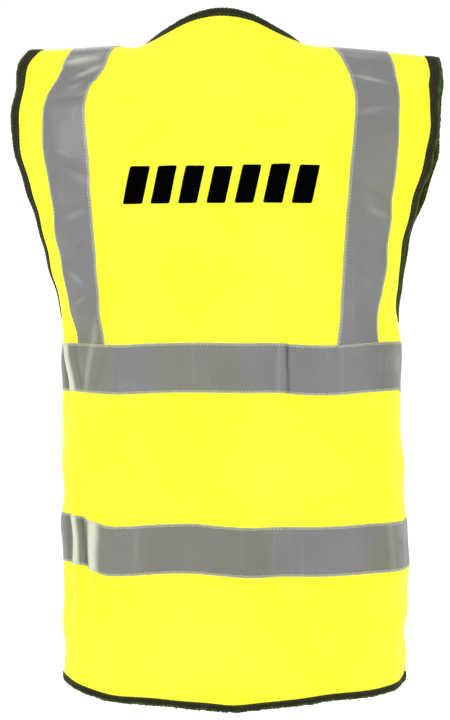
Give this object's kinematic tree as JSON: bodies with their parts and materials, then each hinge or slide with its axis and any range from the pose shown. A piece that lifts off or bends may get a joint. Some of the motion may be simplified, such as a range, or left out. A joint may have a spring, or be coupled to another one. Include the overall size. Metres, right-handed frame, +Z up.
{
  "type": "high visibility vest",
  "caption": "Sleeveless high visibility tabard with reflective waist bands and shoulder braces, bound edges and a hook and loop front that opens.",
  "frame": {"origin": "midway between the side seams and between front and back, at the level of the hem's lowest point", "axes": "+Z up, the wearer faces -Y, the wearer's left is +X"},
  "size_m": [0.449, 0.2475, 0.7141],
  "materials": {
    "yellow_knit": "fluorescent yellow warp knit, matt",
    "silver_tape": "silver grey glass bead retroreflective tape, satin",
    "dark_binding": "dark olive woven edge binding, matt",
    "black_print": "black heat transfer print, matt",
    "yellow_fastener": "yellow hook and loop tape",
    "white_label": "white satin label, left blank"
  },
  "bodies": {
    "torso": {"back_panel": "yellow_knit", "left_front_panel": "yellow_knit", "right_front_panel": "yellow_knit", "upper_band_back": "silver_tape", "lower_band_back": "silver_tape", "left_upper_band": "silver_tape", "left_lower_band": "silver_tape", "right_upper_band": "silver_tape", "right_lower_band": "silver_tape", "left_back_brace": "silver_tape", "left_front_brace": "silver_tape", "right_back_brace": "silver_tape", "right_front_brace": "silver_tape", "neck_binding": "dark_binding", "hem_binding_back": "dark_binding", "left_hem_binding": "dark_binding", "right_hem_binding": "dark_binding", "left_armhole_binding": "dark_binding", "right_armhole_binding": "dark_binding", "print_bar_1": "black_print", "print_bar_2": "black_print", "print_bar_3": "black_print", "print_bar_4": "black_print", "print_bar_5": "black_print", "print_bar_6": "black_print", "print_bar_7": "black_print"},
    "left_flap": {"left_flap_panel": "yellow_knit", "left_flap_upper_band": "silver_tape", "left_flap_lower_band": "silver_tape", "left_flap_hem_binding": "dark_binding", "left_front_edge_binding": "dark_binding", "hook_strip_chest": "yellow_fastener", "hook_strip_waist": "yellow_fastener"},
    "right_flap": {"right_flap_panel": "yellow_knit", "right_flap_upper_band": "silver_tape", "right_flap_lower_band": "silver_tape", "right_flap_hem_binding": "dark_binding", "right_front_edge_binding": "dark_binding", "loop_strip_chest": "yellow_fastener", "loop_strip_waist": "yellow_fastener"},
    "care_label": {"care_label": "white_label"}
  },
  "joints": [
    {"name": "left_front_fold", "type": "hinge", "parent": "torso", "child": "left_flap", "pos_m": [0.145, -0.096, 0], "axis": [-0.1581, -0.0493, 0.9862], "range_deg": [0, 120]},
    {"name": "right_front_fold", "type": "hinge", "parent": "torso", "child": "right_flap", "pos_m": [-0.118, -0.1075, 0], "axis": [-0.1386, 0.0277, -0.99], "range_deg": [0, 78]},
    {"name": "label_flip", "type": "hinge", "parent": "torso", "child": "care_label", "pos_m": [0, 0.08, 0.68], "axis": [-1, 0, 0], "range_deg": [0, 140]}
  ],
  "couplings": [
    {"joint": "right_front_fold", "follows": "left_front_fold", "ratio": 0.65}
  ]
}
